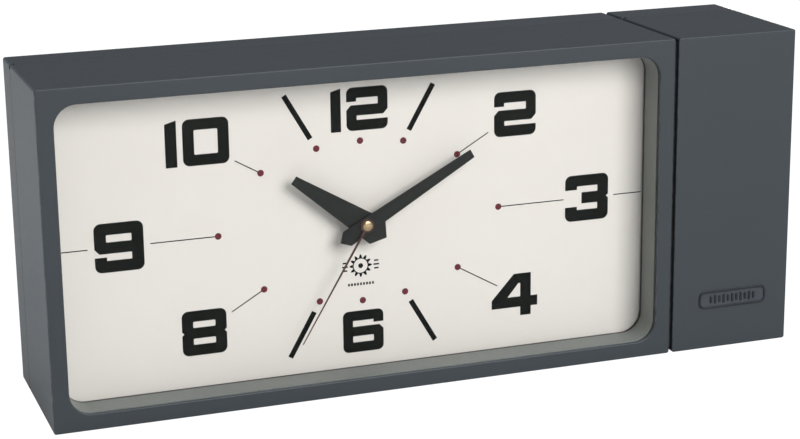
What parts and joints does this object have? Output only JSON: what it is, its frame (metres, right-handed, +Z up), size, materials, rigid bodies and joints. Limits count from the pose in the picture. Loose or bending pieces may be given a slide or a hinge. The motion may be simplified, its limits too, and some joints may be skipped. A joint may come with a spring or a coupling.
{
  "type": "wall clock",
  "caption": "Wide rectangular steel wall clock with a recessed glazed dial, bold square numerals and a plain side block, driven by a battery quartz movement.",
  "frame": {"origin": "middle of the base, on the surface the clock stands on", "axes": "+X to the right along the width seen from the front, +Y from the dial to the back, +Z up"},
  "size_m": [0.47, 0.104, 0.2],
  "materials": {
    "case_paint": "satin",
    "reveal_paint": "satin",
    "dial_white": "matt enamel",
    "ink_black": "screen-printed ink",
    "ink_red": "screen-printed ink",
    "clear_glass": "clear",
    "black_rubber": "matt",
    "zinc_steel": "zinc plated",
    "hand_black": "satin",
    "hand_brown": "satin",
    "brass": "polished",
    "black_plastic": "fine grain",
    "grey_plastic": "fine grain",
    "white_plastic": "moulded",
    "electrical_steel": "bare",
    "copper_wire": "lacquered",
    "board_green": "solder mask",
    "magnet_dark": "sintered",
    "cell_wrap": "printed sleeve"
  },
  "bodies": {
    "case": {"front_plate": "case_paint", "case_wrap": "case_paint", "window_gasket": "black_rubber", "glass": "clear_glass", "reveal_frame": "reveal_paint", "dial_frame": "reveal_paint", "dial_plate": "dial_white", "dial_numerals": "ink_black", "dial_lines": "ink_black", "dial_dots": "ink_red", "dial_emblem": "ink_black", "dial_screws": "zinc_steel", "dial_lugs": "case_paint", "corner_lugs": "case_paint", "back_cover": "case_paint", "cover_flange": "case_paint", "cover_tubes": "case_paint", "case_screws": "zinc_steel", "hanger_plates": "zinc_steel", "case_spacer": "black_rubber", "tie_bolts": "zinc_steel", "tie_nuts": "zinc_steel", "block_shell": "case_paint", "block_lugs": "case_paint", "block_cover": "case_paint", "block_flange": "case_paint", "block_tubes": "case_paint", "block_screws": "zinc_steel", "badge_plate": "case_paint", "movement_case": "black_plastic", "movement_cover": "grey_plastic", "movement_screws": "zinc_steel", "threaded_bush": "brass", "rubber_washer": "black_rubber", "dial_washer": "brass", "hex_nut": "brass", "stator": "electrical_steel", "coil_core": "electrical_steel", "coil_bobbin": "white_plastic", "coil_winding": "copper_wire", "circuit_board": "board_green", "quartz_crystal": "zinc_steel", "contact_plus": "zinc_steel", "contact_minus": "zinc_steel", "battery": "cell_wrap"},
    "seconds_arbor": {"seconds_wheel": "white_plastic", "second_hand": "hand_brown", "hand_boss": "brass"},
    "rotor_arbor": {"rotor": "magnet_dark"},
    "intermediate_arbor": {"intermediate_wheel": "white_plastic"},
    "third_arbor": {"third_wheel": "white_plastic"},
    "minute_arbor": {"centre_wheel": "brass", "minute_hand": "hand_black"},
    "motion_arbor": {"motion_wheel": "white_plastic"},
    "hour_arbor": {"hour_wheel": "white_plastic", "hour_hand": "hand_black"},
    "knob_arbor": {"setting_knob": "black_plastic"}
  },
  "joints": [
    {"name": "seconds_spin", "type": "hinge", "parent": "case", "child": "seconds_arbor", "pos_m": [-0.041, -0.018, 0.1], "axis": [0, 1, 0], "continuous": true},
    {"name": "rotor_spin", "type": "hinge", "parent": "case", "child": "rotor_arbor", "pos_m": [-0.0302, -0.018, 0.11225], "axis": [0, 1, 0], "continuous": true},
    {"name": "intermediate_spin", "type": "hinge", "parent": "case", "child": "intermediate_arbor", "pos_m": [-0.041, -0.018, 0.11225], "axis": [0, 1, 0], "continuous": true},
    {"name": "third_spin", "type": "hinge", "parent": "case", "child": "third_arbor", "pos_m": [-0.053, -0.018, 0.1], "axis": [0, 1, 0], "continuous": true},
    {"name": "minute_spin", "type": "hinge", "parent": "case", "child": "minute_arbor", "pos_m": [-0.041, -0.018, 0.1], "axis": [0, 1, 0], "continuous": true},
    {"name": "motion_spin", "type": "hinge", "parent": "case", "child": "motion_arbor", "pos_m": [-0.03134, -0.018, 0.09741], "axis": [0, 1, 0], "continuous": true},
    {"name": "hour_spin", "type": "hinge", "parent": "case", "child": "hour_arbor", "pos_m": [-0.041, -0.018, 0.1], "axis": [0, 1, 0], "continuous": true},
    {"name": "knob_spin", "type": "hinge", "parent": "case", "child": "knob_arbor", "pos_m": [-0.02268, -0.018, 0.09241], "axis": [0, 1, 0], "continuous": true}
  ],
  "couplings": [
    {"joint": "rotor_spin", "follows": "seconds_spin", "ratio": 30},
    {"joint": "intermediate_spin", "follows": "seconds_spin", "ratio": -6},
    {"joint": "third_spin", "follows": "seconds_spin", "ratio": -0.125},
    {"joint": "minute_spin", "follows": "seconds_spin", "ratio": 0.016667},
    {"joint": "motion_spin", "follows": "seconds_spin", "ratio": -0.0055556},
    {"joint": "hour_spin", "follows": "seconds_spin", "ratio": 0.0013889},
    {"joint": "knob_spin", "follows": "seconds_spin", "ratio": 0.016667}
  ]
}
